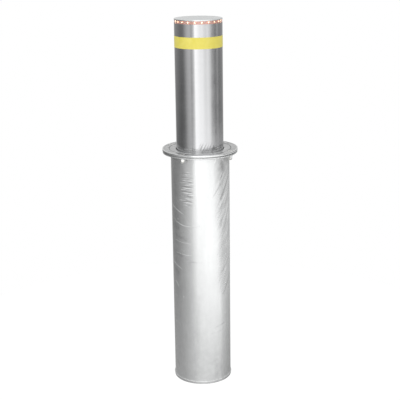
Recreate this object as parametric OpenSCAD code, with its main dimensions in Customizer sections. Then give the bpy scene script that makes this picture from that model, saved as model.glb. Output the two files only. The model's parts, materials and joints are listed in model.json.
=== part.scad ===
// Hydraulic rising bollard: a steel column that a hydraulic cylinder lifts out of a buried casing.
// The frame's origin is the centre of the flange's top face, which lies level with the road.
// +Z points up and -Y is the front. The column is drawn raised.

/* [Column] */
// Outside diameter of the rising column
column_od = 219; // [204:1:222]
// Wall of the column tube
column_wall = 6; // [4:1:10]
// Height of the raised head above the flange
head_h = 595; // [500:5:620]
// How far the lowered head stands above the flange
flush_h = 3; // [1:1:8]
// Length of column that stays in the casing when raised
column_overlap = 300; // [260:5:330]
// Thickness of the stiffening ring round the column's foot
foot_ring_t = 12; // [8:1:20]

/* [Head] */
// Thickness of the cap plate
cap_t = 5; // [4:0.5:14]
// Radius on the cap's upper edge
cap_edge = 1.5; // [0.5:0.5:3]
// Height of the lamp window under the cap
window_h = 14; // [10:0.5:20]
// Wall of the lamp window
window_wall = 4; // [2:0.5:4.5]
// How far the window's face lies behind the column's face
window_recess = 1; // [0.5:0.5:1.5]
// Number of lamps round the head
led_count = 20; // [8:2:30]
// Diameter of a lamp
led_d = 6; // [4:0.5:8]
// Number of cap screws
cap_screw_count = 4; // [3:1:8]
// Thread diameter of the cap screws
cap_screw_d = 6; // [5:1:8]
// Thickness of the ring that the cap screws bite into
head_ring_t = 10; // [8:1:16]

/* [Reflective band] */
// Height of the yellow band
band_h = 51; // [25:1:100]
// Distance from the top of the head to the band
band_drop = 76; // [40:1:200]
// Thickness of the band
band_t = 0.4; // [0.2:0.1:0.5]

/* [Casing] */
// Gap between the column and the inside of the casing
casing_gap = 22; // [21:0.5:30]
// Wall of the casing tube
casing_wall = 5; // [4:0.5:6]
// Depth from the flange's top face to the underside of the base
casing_depth = 1140; // [1090:5:1300]
// Thickness of the base plate
base_t = 10; // [8:1:16]
// How far the base plate stands out past the tube, to carry the weld
base_lip = 1.5; // [1:0.5:4]

/* [Flange] */
// How far the flange stands out past the casing
flange_w = 38.5; // [36.5:0.5:64]
// Thickness of the cover ring, on top
cover_t = 8; // [7:1:12]
// Thickness of the welded ring, below
flange_t = 10; // [8:1:16]
// How far the collar's top face reaches past the casing
collar_lap = 6.5; // [5:0.5:8]
// Gap between the column and the collar
collar_gap = 2.5; // [1.5:0.5:4]
// Thread diameter of the flange bolts
bolt_d = 12; // [10:1:12]
// Number of flange bolts
bolt_count = 4; // [3:1:8]
// Angle of the first flange bolt, from +X
bolt_angle = 60; // [0:5:85]
// Leg of the weld under the flange
weld_leg = 7; // [4:1:8]

/* [Guides] */
// Depth of the nylon guide bush
bush_h = 70; // [40:5:100]
// Clearance between the bush and the column
guide_gap = 0.8; // [0.7:0.1:1.2]
// Width of a guide rail
rail_w = 10; // [8:1:16]
// Clearance between the rails and the column
rail_gap = 8; // [7:0.5:10]
// Height of a guide shoe
shoe_h = 50; // [30:5:80]
// Angle that a guide shoe spans
shoe_angle = 26; // [24:1:34]
// Side clearance between a shoe and its rail
shoe_play = 0.5; // [0.3:0.1:1]

/* [Cylinder] */
// Bore of the hydraulic cylinder
bore_d = 50; // [45:1:54]
// Wall of the cylinder barrel
barrel_wall = 6; // [5:0.5:8]
// Diameter of the piston rod
rod_d = 36; // [28:1:40]
// Length of the piston
piston_h = 28; // [22:1:40]
// Length of the gland head outside the barrel
gland_h = 35; // [28:1:50]
// Height of the cylinder's foot
cyl_foot_h = 45; // [42:1:60]
// Height of the rubber bump ring
bump_h = 16; // [8:1:24]
// Thickness of the crosshead plate in the column
crosshead_t = 18; // [12:1:25]
// Diameter of the three vents in the crosshead
vent_d = 48; // [30:1:50]

/* [Power pack] */
// Inner radius of the tank and of the pump block
pack_ir = 64; // [62:1:66]
// Height of the pump block
block_h = 40; // [36:1:45]
// Gap between the pump motor and the cylinder's foot
motor_gap = 5; // [3:0.5:12]
// Wall of the oil tank
tank_wall = 2; // [1.5:0.5:4]
// Gap between the power pack and the lowered column
pack_gap = 13; // [8:1:20]

/* [Entries] */
// Outside diameter of the cable entry stub
stub_od = 42; // [38:1:50]
// Depth of the cable entry below the road
stub_depth = 420; // [400:5:600]
// Diameter of the cable that the gland takes
cable_d = 14; // [8:1:16]
// Outside diameter of the drain socket
drain_od = 48; // [44:1:52]
// Bore of the drain socket
drain_bore = 36; // [30:1:38]
// Angle of the drain socket, from +X
drain_angle = 35; // [30:1:45]

/* [Hidden] */
$fn = 96;
small = 32;
cut = 1;
clear = 0.2;
blind = 2;

column_r = column_od / 2;
column_ir = column_r - column_wall;
casing_ir = column_r + casing_gap;
casing_r = casing_ir + casing_wall;
flange_r = casing_r + flange_w;
collar_r = casing_r + collar_lap;
travel = head_h - flush_h;
base_top = -casing_depth + base_t;
column_foot = -column_overlap;

// Head, from the top down
cap_bottom = head_h - cap_t;
tube_top = cap_bottom - window_h;
window_r = column_r - window_recess;
window_ir = window_r - window_wall;
led_room = 4.5;
strip_t = 1.2;
hub_r = window_ir - led_room;
strip_gap = 1.25;
strip_h = window_h - 2 * strip_gap;
head_ring_w = 24;
head_ring_ir = column_ir - head_ring_w;
cap_screw_edge = 9;
cap_screw_r = hub_r - cap_screw_edge;
cap_screw_short = 2;
cap_screw_l = cap_t + window_h + head_ring_t - cap_screw_short;
led_clear = 0.5;
led_dome = led_room - strip_t - led_clear;

// Flange stack, from the top down
collar_ir = column_r + collar_gap;
collar_step = 5;
step_t = cover_t / 2;
seam = 1.5;
bush_lip = 4;
tube_end = -cover_t - bush_lip;
flange_under = -cover_t - flange_t;
ring_setback = 1;
lower_ring_r = flange_r - ring_setback;
drip_groove_h = 4;
drip_groove_w = 6;
drip_groove_r = lower_ring_r - drip_groove_w;
seal_w = 8;
seal_h = 9;
bolt_r = (collar_r + seam + flange_r) / 2;
washer_t = 2.5;
nut_af = bolt_d * 1.5 + 1;
nut_hex_h = bolt_d * 0.85;
nut_under = flange_under - washer_t;
bolt_end = nut_under - nut_hex_h;

// Guides
rail_angles = [30, 150, 270];
rail_ir = column_r + rail_gap;
rail_drop = 15;
rail_top = -cover_t - bush_h - rail_drop;
rail_tail = 10;
rail_end = column_foot - travel - rail_tail;
foot_ring_gap = 1.5;
foot_ring_r = rail_ir - foot_ring_gap;
shoe_clear = 1;
shoe_r = casing_ir - shoe_clear;
slot_r = rail_ir - shoe_clear;
shoe_bottom = column_foot + foot_ring_t;
shoe_screw_d = 5;
shoe_screw_step = 0.36 * shoe_angle;
shoe_screw_head = 4.25;

// Cylinder, from the base up
bore_r = bore_d / 2;
barrel_r = bore_r + barrel_wall;
barrel_socket = 15;
barrel_bottom = base_top + cyl_foot_h - barrel_socket;
end_gap = 6;
piston_bottom = barrel_bottom + end_gap + travel;
gland_plug = 21;
gland_bottom = piston_bottom + piston_h + end_gap;
barrel_top = gland_bottom + gland_plug;
gland_top = barrel_top + gland_h;
gland_lip = 6;
gland_r = barrel_r + gland_lip;
rod_seal_h = 6;
rod_seal_w = 4;
rod_seal_r = rod_d / 2 + rod_seal_w;
rod_r = rod_d / 2;
running = 0.05;
stud_r = rod_r * 2 / 3;
stud_end = 5;
piston_seal_h = 4;
piston_seal_edge = 5;
piston_seal_w = 4;
piston_seal_ir = bore_r - piston_seal_w;
seal_z = [
    piston_bottom + piston_seal_edge,
    piston_bottom + piston_h - piston_seal_edge - piston_seal_h
];
rod_gap = 4;
crosshead_z = gland_top + bump_h + rod_gap + travel;
rod_nut_h = 20;
rod_nut_r = stud_r * 1.75;
foot_flange_t = 14;
foot_flange_gap = 4;
foot_flange_r = pack_ir - foot_flange_gap;
foot_boss_w = 9;
foot_boss_r = barrel_r + foot_boss_w;
foot_bolt_edge = 9.5;
foot_bolt_r = foot_flange_r - foot_bolt_edge;
foot_bolt_d = 10;
sensor_h = 14;
sensor_w = 18;
sensor_reach = 12;
sensor_band = 2;

// Power pack, in the space that the lowered column leaves free
pack_clear = 4.5;
pack_or = casing_ir - pack_clear;
pack_top = column_foot - travel - pack_gap;
block_top = base_top + block_h;
block_start = 228;
block_sweep = 124;
tank_start = 75;
tank_sweep = 140;
lid_t = 3;
plug_h = 12;
plug_r = 13;
plug_neck_r = plug_r - 4;
tank_top = pack_top - plug_h - lid_t;
motor_edge = 2;
motor_r = (pack_or - motor_edge - foot_boss_r - motor_gap) / 2;
motor_at = pack_or - motor_r - motor_edge;
motor_angle = 256;
motor_room = 8;
motor_h = pack_top - block_top - motor_room;
motor_fins = 20;
valve_angle = 297;
valve_r = 18;
valve_edge = 10;
valve_at = pack_or - valve_r - valve_edge;
valve_h = 62;
foot_bolt_start = valve_angle - 45;
box_angle = 333;
box_w = 40;
box_h = 62;
box_lid_t = 4;
box_neck_h = 4;
led_cable_r = 4;
block_screw_d = 8;
block_screw_sink = 9;
block_screw_edge = 9;
coil_shift = 10;
coil_at = (pack_ir + column_ir) / 2 - coil_shift;
coil_r = 12;
pipe_r = 6;
union_w = 3.5;
union_r = pipe_r + union_w;
port_depth = 5;
port_lift = 2;
port_z = base_top + foot_flange_t + union_r + port_lift;
return_r = 5;
return_angle = 308;
return_edge = 7;
return_at = pack_ir + return_edge;
return_bend = 14;
return_z = barrel_top + gland_h / 2;

// Entries
entry_lip = 3.5;
entry_in = casing_ir - entry_lip;
stub_out = 15.5;
stub_end = casing_r + stub_out;
stub_r = stub_od / 2;
stub_wall = 5;
stub_ir = stub_r - stub_wall;
cable_r = cable_d / 2;
gland_hex_t = 7;
gland_neck_w = 5;
gland_neck_r = cable_r + gland_neck_w;
gland_neck_l = 9;
gland_neck_end = stub_end + gland_hex_t + gland_neck_l;
drain_out = 13.5;
drain_end = casing_r + drain_out;
drain_lift = 8;
drain_z = base_top + drain_od / 2 + drain_lift;

// A ring that stands on z
module ring(r_out, r_in, h, z) {
    translate([0, 0, z])
        difference() {
            cylinder(r = r_out, h = h);
            translate([0, 0, -cut]) cylinder(r = r_in, h = h + 2 * cut);
        }
}

// A block between two radii and two angles
module sector(r_out, r_in, start, sweep, h, z) {
    translate([0, 0, z])
        rotate([0, 0, start])
            rotate_extrude(angle = sweep)
                translate([r_in, 0]) square([r_out - r_in, h]);
}

// Children repeated round the axis
module around(count, start = 0) {
    for (i = [0 : count - 1]) rotate([0, 0, start + i * 360 / count]) children();
}

// A radial rod along the direction given by an angle
module radial(angle, z, from, to, r, sides = small) {
    rotate([0, 0, angle])
        translate([from, 0, z])
            rotate([0, 90, 0]) cylinder(r = r, h = to - from, $fn = sides);
}

// A countersunk screw with a hexagon socket, head up at z = 0
module countersunk(d, length) {
    difference() {
        union() {
            translate([0, 0, -d / 2]) cylinder(r1 = d / 2, r2 = d, h = d / 2, $fn = small);
            translate([0, 0, -length]) cylinder(r = d / 2, h = length - d / 2, $fn = small);
        }
        translate([0, 0, -d * 0.4]) cylinder(r = d * 0.38, h = d, $fn = 6);
    }
}

// The hole for a countersunk screw
module countersunk_hole(d, depth) {
    translate([0, 0, -d / 2]) cylinder(r1 = d / 2, r2 = d, h = d / 2, $fn = small);
    translate([0, 0, -clear]) cylinder(r = d, h = cut, $fn = small);
    translate([0, 0, -depth]) cylinder(r = d / 2 + clear, h = depth, $fn = small);
}

// A socket-head screw whose head stands on z = 0
module cap_head(d, length) {
    difference() {
        union() {
            cylinder(r = d * 0.8, h = d, $fn = small);
            translate([0, 0, -length]) cylinder(r = d / 2, h = length + cut, $fn = small);
        }
        translate([0, 0, d * 0.5]) cylinder(r = d * 0.45, h = d, $fn = 6);
    }
}

module casing_tube() {
    color("gainsboro")
        difference() {
            ring(casing_r, casing_ir, tube_end - base_top, base_top);
            radial(90, -stub_depth, column_r, casing_r + cut, stub_r);
            radial(drain_angle, drain_z, column_r, casing_r + cut, drain_od / 2);
        }
}

module base_plate() {
    color("silver")
        difference() {
            translate([0, 0, -casing_depth]) cylinder(r = casing_r + base_lip, h = base_t);
            around(4, foot_bolt_start)
                translate([foot_bolt_r, 0, -casing_depth + blind])
                    cylinder(r = foot_bolt_d / 2, h = base_t, $fn = small);
            block_screw_places()
                translate([0, 0, -casing_depth + blind])
                    cylinder(r = block_screw_d / 2, h = base_t, $fn = small);
        }
}

// The bead between the tube and the base plate
module base_weld() {
    color("lightgray")
        rotate_extrude()
            polygon([
                [casing_r, base_top],
                [casing_r + base_lip, base_top],
                [casing_r, base_top + base_lip * 4]
            ]);
}

// Ring welded to the tube, with a groove under the cover ring where rain drips off
module casing_flange() {
    color("silver")
        difference() {
            rotate_extrude()
                polygon([
                    [casing_r, flange_under], [lower_ring_r, flange_under],
                    [lower_ring_r, -cover_t - drip_groove_h], [drip_groove_r, -cover_t - drip_groove_h],
                    [drip_groove_r, -cover_t], [casing_r, -cover_t]
                ]);
            around(bolt_count, bolt_angle)
                translate([bolt_r, 0, flange_under - cut])
                    cylinder(r = bolt_d / 2 + clear, h = flange_t + 2 * cut, $fn = small);
        }
}

// The bead between the tube and the underside of the flange
module flange_weld() {
    color("lightgray")
        rotate_extrude()
            polygon([
                [casing_r, flange_under],
                [casing_r + weld_leg, flange_under],
                [casing_r, flange_under - weld_leg]
            ]);
}

// Flanged nylon bush that hangs on the tube's end and holds the wiper in its mouth
module guide_bush() {
    bush_r = casing_ir - clear;
    color("ivory")
        rotate_extrude()
            polygon([
                [column_r + guide_gap, -cover_t - bush_h], [bush_r, -cover_t - bush_h], [bush_r, tube_end],
                [casing_r - clear, tube_end], [casing_r - clear, -cover_t],
                [column_r + guide_gap + seal_w, -cover_t],
                [column_r + guide_gap + seal_w, -cover_t - seal_h],
                [column_r + guide_gap, -cover_t - seal_h]
            ]);
}

// Rubber ring with a lip that leans up against the column
module wiper_seal() {
    lip_r = column_r + guide_gap;
    color("black")
        rotate_extrude()
            polygon([
                [lip_r + 2, -cover_t - seal_h], [lip_r + seal_w, -cover_t - seal_h],
                [lip_r + seal_w, -cover_t],
                [lip_r, -cover_t], [lip_r, -cover_t - 2], [lip_r + 2, -cover_t - 5]
            ]);
}

// Inner ring, whose step the cover ring clamps
module collar_ring() {
    color("silver")
        rotate_extrude()
            polygon([
                [collar_ir, -cover_t],
                [collar_r + collar_step, -cover_t], [collar_r + collar_step, -step_t],
                [collar_r, -step_t], [collar_r, 0], [collar_ir + 1.5, 0], [collar_ir, -1.5]
            ]);
}

// Outer ring, bolted down on the welded one
module cover_ring() {
    color("silver")
        difference() {
            rotate_extrude()
                polygon([
                    [collar_r + collar_step + seam, -cover_t], [flange_r, -cover_t], [flange_r, 0],
                    [collar_r + seam, 0],
                    [collar_r + seam, -step_t], [collar_r + collar_step + seam, -step_t]
                ]);
            around(bolt_count, bolt_angle)
                translate([bolt_r, 0, 0]) countersunk_hole(bolt_d, cover_t + cut);
        }
}

module flange_bolts() {
    color("white")
        around(bolt_count, bolt_angle)
            translate([bolt_r, 0, 0]) countersunk(bolt_d, -bolt_end);
}

module nut_washers() {
    color("silver")
        around(bolt_count, bolt_angle)
            translate([bolt_r, 0, 0]) ring(bolt_d, bolt_d / 2 + clear, washer_t, nut_under);
}

// Cap nuts: a hexagon with a round dome below it
module dome_nuts() {
    dome_r = nut_af / 2 - 1;
    dome_skirt = 3;
    color("white")
        around(bolt_count, bolt_angle)
            translate([bolt_r, 0, bolt_end])
                difference() {
                    union() {
                        cylinder(d = nut_af / cos(30), h = nut_hex_h, $fn = 6);
                        translate([0, 0, -dome_skirt])
                            cylinder(r = dome_r, h = dome_skirt + cut, $fn = small);
                        translate([0, 0, -dome_skirt]) sphere(r = dome_r, $fn = small);
                    }
                    cylinder(r = bolt_d / 2, h = nut_hex_h + cut, $fn = small);
                }
}

// A bar welded to the casing's wall, which keeps the column from turning
module guide_rail(index) {
    color("silver")
        rotate([0, 0, rail_angles[index]])
            intersection() {
                translate([rail_ir, -rail_w / 2, rail_end])
                    cube([casing_r - rail_ir, rail_w, rail_top - rail_end]);
                translate([0, 0, rail_end - cut])
                    cylinder(r = casing_ir, h = rail_top - rail_end + 2 * cut);
            }
}

module conduit_stub() {
    color("gainsboro")
        difference() {
            radial(90, -stub_depth, entry_in, stub_end, stub_r);
            radial(90, -stub_depth, entry_in - cut, stub_end + cut, stub_ir);
        }
}

// Gland body: a shank in the stub, a hexagon and a neck
module cable_gland() {
    color("dimgray")
        difference() {
            union() {
                radial(90, -stub_depth, entry_in + 2, stub_end + cut, stub_ir - clear);
                radial(90, -stub_depth, stub_end, stub_end + gland_hex_t, stub_r, 6);
                radial(90, -stub_depth, stub_end, gland_neck_end, gland_neck_r);
            }
            radial(90, -stub_depth, entry_in, gland_neck_end + cut, cable_r);
        }
}

module gland_nut() {
    nut_start = stub_end + gland_hex_t;
    mouth_t = 3;
    color("dimgray")
        difference() {
            radial(90, -stub_depth, nut_start, gland_neck_end + mouth_t, gland_neck_r + 4, 6);
            radial(90, -stub_depth, nut_start - cut, gland_neck_end, gland_neck_r);
            radial(90, -stub_depth, nut_start, gland_neck_end + mouth_t + cut, cable_r + 1.5);
        }
}

module drain_socket() {
    color("gainsboro")
        difference() {
            radial(drain_angle, drain_z, entry_in, drain_end, drain_od / 2);
            radial(drain_angle, drain_z, entry_in - cut, drain_end + cut, drain_bore / 2);
        }
}

// Foot of the cylinder: a flange, and a boss with the barrel's socket and the oil port
module cylinder_foot() {
    color("dimgray")
        difference() {
            union() {
                translate([0, 0, base_top]) cylinder(r = foot_flange_r, h = foot_flange_t);
                translate([0, 0, base_top]) cylinder(r = foot_boss_r, h = cyl_foot_h);
            }
            translate([0, 0, barrel_bottom]) cylinder(r = barrel_r, h = barrel_socket + cut);
            radial(valve_angle, port_z, foot_boss_r - port_depth, foot_boss_r + cut, pipe_r);
            around(4, foot_bolt_start)
                translate([foot_bolt_r, 0, base_top - cut])
                    cylinder(r = foot_bolt_d / 2 + clear, h = foot_flange_t + 2 * cut, $fn = small);
        }
}

module foot_bolts() {
    color("silver")
        around(4, foot_bolt_start)
            translate([foot_bolt_r, 0, base_top + foot_flange_t])
                cap_head(foot_bolt_d, foot_flange_t + base_t - blind);
}

module cylinder_barrel() {
    color("slategray") ring(barrel_r, bore_r, barrel_top - barrel_bottom, barrel_bottom);
}

// Gland: a plug in the barrel's end and a head with the rod seal's groove
module gland_head() {
    color("dimgray")
        difference() {
            union() {
                translate([0, 0, gland_bottom]) cylinder(r = bore_r, h = gland_plug + cut);
                translate([0, 0, barrel_top]) cylinder(r = gland_r, h = gland_h);
            }
            translate([0, 0, gland_bottom - cut])
                cylinder(r = rod_r + running, h = gland_top - gland_bottom + 2 * cut);
            translate([0, 0, gland_top - rod_seal_h]) cylinder(r = rod_seal_r, h = rod_seal_h + cut);
            radial(return_angle, return_z, gland_r - port_depth, gland_r + cut, return_r);
        }
}

module rod_seal() {
    color("firebrick") ring(rod_seal_r, rod_r + 0.4, rod_seal_h, gland_top - rod_seal_h);
}

// Rubber ring that the crosshead meets when the column is down
module bump_ring() {
    color("black") ring(gland_r - 4, rod_r + 5, bump_h, gland_top);
}

// A clamp band round the barrel with a sensor body on it
module sensor(z) {
    color("darkorange")
        difference() {
            union() {
                translate([0, 0, z]) cylinder(r = barrel_r + sensor_band, h = sensor_h);
                rotate([0, 0, 90])
                    translate([barrel_r, -sensor_w / 2, z]) cube([sensor_reach, sensor_w, sensor_h]);
            }
            translate([0, 0, z - cut]) cylinder(r = barrel_r, h = sensor_h + 2 * cut);
        }
}

// Ring-shaped valve block with its passages closed by plugs
module pump_block() {
    color("silver")
        difference() {
            sector(pack_or, pack_ir, block_start, block_sweep, block_h, base_top);
            radial(valve_angle, port_z, pack_ir - cut, pack_ir + port_depth, pipe_r);
            rotate([0, 0, return_angle])
                translate([return_at, 0, block_top - port_depth])
                    cylinder(r = return_r, h = port_depth + cut, $fn = small);
            block_screw_places() {
                translate([0, 0, base_top - cut])
                    cylinder(r = block_screw_d / 2 + clear, h = block_h + 2 * cut, $fn = small);
                translate([0, 0, block_top - block_screw_sink])
                    cylinder(r = block_screw_d * 0.85, h = block_screw_sink + cut, $fn = small);
            }
        }
}

// The places of the three screws that hold the pump block
module block_screw_places() {
    for (a = [0.045, 0.5, 0.955])
        rotate([0, 0, block_start + a * block_sweep])
            translate([pack_or - block_screw_edge - (a == 0.5 ? 0 : 3), 0, 0]) children();
}

module block_screws() {
    color("gray")
        block_screw_places()
            translate([0, 0, block_top - block_screw_sink])
                cap_head(block_screw_d, block_h - block_screw_sink + base_t - blind);
}

// Finned motor with two end bells
module pump_motor() {
    bell_h = 12;
    spigot_h = 4;
    fin_t = 2;
    fin_w = 5;
    color("royalblue")
        rotate([0, 0, motor_angle])
            translate([motor_at, 0, block_top]) {
                cylinder(r = motor_r, h = bell_h);
                cylinder(r = motor_r - fin_w + cut, h = motor_h - spigot_h);
                translate([0, 0, motor_h - bell_h - spigot_h]) cylinder(r = motor_r, h = bell_h);
                translate([0, 0, motor_h - spigot_h - cut]) cylinder(r = motor_r / 2, h = spigot_h + cut);
                for (i = [0 : motor_fins - 1])
                    rotate([0, 0, i * 360 / motor_fins])
                        translate([motor_r - fin_w - cut, -fin_t / 2, bell_h - cut])
                            cube([fin_w, fin_t, motor_h - 2 * bell_h - spigot_h + 2 * cut]);
            }
}

// Cartridge, coil and coil nut, one above the other
module solenoid_valve() {
    cartridge_h = 12;
    coil_nut_h = 9;
    plug = [12, 16, 18];
    color("black")
        rotate([0, 0, valve_angle])
            translate([valve_at, 0, block_top]) {
                cylinder(r = valve_r - 5, h = cartridge_h, $fn = 6);
                translate([0, 0, cartridge_h - cut])
                    cylinder(r = valve_r, h = valve_h - cartridge_h - coil_nut_h + cut, $fn = small);
                translate([0, 0, valve_h - coil_nut_h - cut])
                    cylinder(r = valve_r / 2, h = coil_nut_h + cut, $fn = small);
                translate([valve_r - 4, -plug.y / 2, cartridge_h + 10]) cube(plug);
            }
}

// Box with a lid for the lamp cable and the sensors
module junction_box() {
    body_h = box_h - box_lid_t - box_neck_h;
    box_shift = 4;
    lip = 1;
    color("gray")
        rotate([0, 0, box_angle])
            translate([coil_at, 0, block_top]) {
                translate([box_shift - box_w / 2, -box_w / 2, 0]) cube([box_w, box_w, body_h]);
                translate([box_shift - box_w / 2 - lip, -box_w / 2 - lip, body_h - cut])
                    cube([box_w + 2 * lip, box_w + 2 * lip, box_lid_t + cut]);
                translate([0, 0, box_h - box_neck_h - cut])
                    cylinder(r = 2 * led_cable_r, h = box_neck_h + cut, $fn = small);
            }
}

// Ring-shaped tank, open under its lid
module oil_tank() {
    edge = atan(tank_wall / pack_ir);
    color("dimgray")
        difference() {
            sector(pack_or, pack_ir, tank_start, tank_sweep, tank_top - base_top, base_top);
            sector(
                pack_or - tank_wall, pack_ir + tank_wall, tank_start + edge, tank_sweep - 2 * edge,
                tank_top - base_top, base_top + tank_wall
            );
        }
}

module tank_lid() {
    color("gray")
        difference() {
            sector(pack_or, pack_ir, tank_start, tank_sweep, lid_t, tank_top);
            tank_plug_place()
                translate([0, 0, -cut]) cylinder(r = plug_neck_r, h = lid_t + 2 * cut, $fn = small);
        }
}

// The filler's place, on the lid's underside
module tank_plug_place() {
    rotate([0, 0, tank_start + 25])
        translate([(pack_ir + pack_or) / 2, 0, tank_top]) children();
}

module filler_plug() {
    neck_h = 6;
    color("black")
        tank_plug_place() {
            translate([0, 0, -neck_h])
                cylinder(r = plug_neck_r - clear, h = neck_h + lid_t + cut, $fn = small);
            translate([0, 0, lid_t]) cylinder(r = plug_r, h = plug_h - 1, $fn = 6);
        }
}

// Short pipe from the block to the cylinder's port, with its union
module pressure_pipe() {
    middle = (foot_boss_r + pack_ir) / 2;
    half_nut = 4;
    color("silver") {
        radial(valve_angle, port_z, foot_boss_r - port_depth, pack_ir + port_depth, pipe_r);
        radial(valve_angle, port_z, middle - half_nut, middle + half_nut, union_r, 6);
    }
}

// Long pipe from the block up to the gland head
module return_pipe() {
    color("silver")
        rotate([0, 0, return_angle]) {
            translate([return_at, 0, block_top - port_depth])
                cylinder(r = return_r, h = return_z - return_bend - block_top + port_depth, $fn = small);
            translate([return_at - return_bend, 0, return_z - return_bend])
                rotate([90, 0, 0])
                    rotate_extrude(angle = 90)
                        translate([return_bend, 0]) circle(r = return_r, $fn = small);
            translate([gland_r - port_depth, 0, return_z])
                rotate([0, 90, 0])
                    cylinder(r = return_r, h = return_at - return_bend - gland_r + port_depth, $fn = small);
        }
}

module column_tube() {
    color("lightsteelblue")
        difference() {
            ring(column_r, column_ir, tube_top - column_foot, column_foot);
            shoe_screw_places() radial(0, 0, column_ir - cut, column_r + cut, shoe_screw_d / 2, small);
        }
}

// Stiffening ring welded round the column's foot, under the shoes
module foot_ring() {
    color("silver") ring(foot_ring_r, column_r, foot_ring_t, column_foot);
}

// The direction of each shoe screw, two to a shoe
module shoe_screw_places() {
    for (a = rail_angles, side = [-1, 1])
        rotate([0, 0, a + side * shoe_screw_step])
            translate([0, 0, shoe_bottom + shoe_h / 2]) children();
}

// Nylon shoe, slotted to run on its rail
module guide_shoe(index) {
    shoe_start = rail_angles[index] - shoe_angle / 2;
    color("ivory")
        difference() {
            sector(shoe_r, column_r, shoe_start, shoe_angle, shoe_h, shoe_bottom);
            rotate([0, 0, rail_angles[index]])
                translate([slot_r, -rail_w / 2 - shoe_play, shoe_bottom - cut])
                    cube([casing_r, rail_w + 2 * shoe_play, shoe_h + 2 * cut]);
            shoe_screw_places() {
                radial(0, 0, column_ir, casing_r, shoe_screw_d / 2 + clear, small);
                radial(0, 0, slot_r + 2, casing_r, shoe_screw_head + clear, small);
            }
        }
}

module shoe_screws() {
    color("gray")
        shoe_screw_places() {
            radial(0, 0, column_ir, slot_r + 3, shoe_screw_d / 2, small);
            radial(0, 0, slot_r + 2, slot_r + 7, shoe_screw_head, small);
        }
}

// Plate welded across the column, which the rod lifts
module crosshead() {
    color("silver")
        translate([0, 0, crosshead_z])
            difference() {
                cylinder(r = column_ir, h = crosshead_t);
                translate([0, 0, -cut]) cylinder(r = stud_r, h = crosshead_t + 2 * cut, $fn = small);
                for (i = [1 : 3])
                    rotate([0, 0, box_angle + i * 90])
                        translate([coil_at, 0, -cut])
                            cylinder(d = vent_d, h = crosshead_t + 2 * cut, $fn = small);
                rotate([0, 0, box_angle])
                    translate([coil_at, 0, -cut])
                        cylinder(r = led_cable_r, h = crosshead_t + 2 * cut, $fn = small);
            }
}

module rod_nut() {
    color("gray")
        translate([0, 0, crosshead_z + crosshead_t])
            difference() {
                cylinder(r = rod_nut_r, h = rod_nut_h, $fn = 6);
                translate([0, 0, -cut]) cylinder(r = stud_r, h = rod_nut_h + 2 * cut, $fn = small);
            }
}

// Rod with a stud at each end, for the piston and for the crosshead
module piston_rod() {
    stud_top = crosshead_z + crosshead_t + rod_nut_h + stud_end;
    color("whitesmoke") {
        translate([0, 0, piston_bottom + piston_h])
            cylinder(r = rod_r, h = crosshead_z - piston_bottom - piston_h);
        translate([0, 0, piston_bottom]) cylinder(r = stud_r, h = stud_top - piston_bottom, $fn = small);
    }
}

// Piston with a groove for each seal
module piston() {
    color("goldenrod")
        difference() {
            ring(bore_r - running, stud_r, piston_h, piston_bottom);
            for (z = seal_z) ring(bore_r + cut, piston_seal_ir, piston_seal_h, z);
        }
}

module piston_seals() {
    color("firebrick")
        for (z = seal_z) ring(bore_r - 0.4, piston_seal_ir, piston_seal_h, z);
}

module cap_screw_holes(depth, z) {
    around(cap_screw_count, 45)
        translate([cap_screw_r, 0, z]) cylinder(r = cap_screw_d / 2 + clear, h = depth, $fn = small);
}

// Ring welded in the column's mouth, flush with the tube's end
module head_ring() {
    color("silver")
        difference() {
            ring(column_ir, head_ring_ir, head_ring_t, tube_top - head_ring_t);
            cap_screw_holes(head_ring_t + 2 * cut, tube_top - head_ring_t - cut);
        }
}

// Drum that carries the lamp strip and the cap
module led_hub() {
    color("white")
        difference() {
            translate([0, 0, tube_top]) cylinder(r = hub_r, h = window_h);
            cap_screw_holes(window_h + 2 * cut, tube_top - cut);
        }
}

module led_strip() {
    color("darkred") ring(hub_r + strip_t, hub_r, strip_h, tube_top + strip_gap);
}

// Lamps with round noses, evenly spaced from half a step right of the front
module leds() {
    led_z = tube_top + window_h / 2;
    led_foot = hub_r + strip_t;
    color("orangered")
        around(led_count, -90 + 180 / led_count)
            intersection() {
                union() {
                    radial(0, led_z, led_foot, led_foot + led_dome / 2, led_d / 2);
                    translate([led_foot + led_dome - led_d / 2, 0, led_z])
                        sphere(r = led_d / 2, $fn = small);
                }
                radial(0, led_z, led_foot, hub_r + led_room, led_d);
            }
}

module led_window() {
    color("salmon") ring(window_r, window_ir, window_h, tube_top);
}

// Cap plate with a rounded upper edge
module head_cap() {
    color("lightsteelblue")
        difference() {
            translate([0, 0, cap_bottom])
                rotate_extrude() {
                    square([column_r - cap_edge, cap_t]);
                    square([column_r, cap_t - cap_edge]);
                    intersection() {
                        translate([column_r - cap_edge, cap_t - cap_edge])
                            circle(r = cap_edge, $fn = small);
                        square([column_r, cap_t]);
                    }
                }
            around(cap_screw_count, 45)
                translate([cap_screw_r, 0, head_h]) countersunk_hole(cap_screw_d, cap_t + cut);
        }
}

module cap_screws() {
    color("silver")
        around(cap_screw_count, 45)
            translate([cap_screw_r, 0, head_h]) countersunk(cap_screw_d, cap_screw_l);
}

module reflective_band() {
    color("yellow") ring(column_r + band_t, column_r, band_h, head_h - band_drop - band_h);
}

// Lamp cable above the crosshead
module led_cable() {
    color("black")
        rotate([0, 0, box_angle])
            translate([coil_at, 0, crosshead_z])
                cylinder(r = led_cable_r, h = tube_top - crosshead_z, $fn = small);
}

// Outer shape of the coiled lamp cable between the junction box and the crosshead
module coil_cable() {
    coil_bottom = block_top + box_h;
    color("black")
        rotate([0, 0, box_angle])
            translate([coil_at, 0, coil_bottom]) cylinder(r = coil_r, h = crosshead_z - coil_bottom);
}

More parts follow.
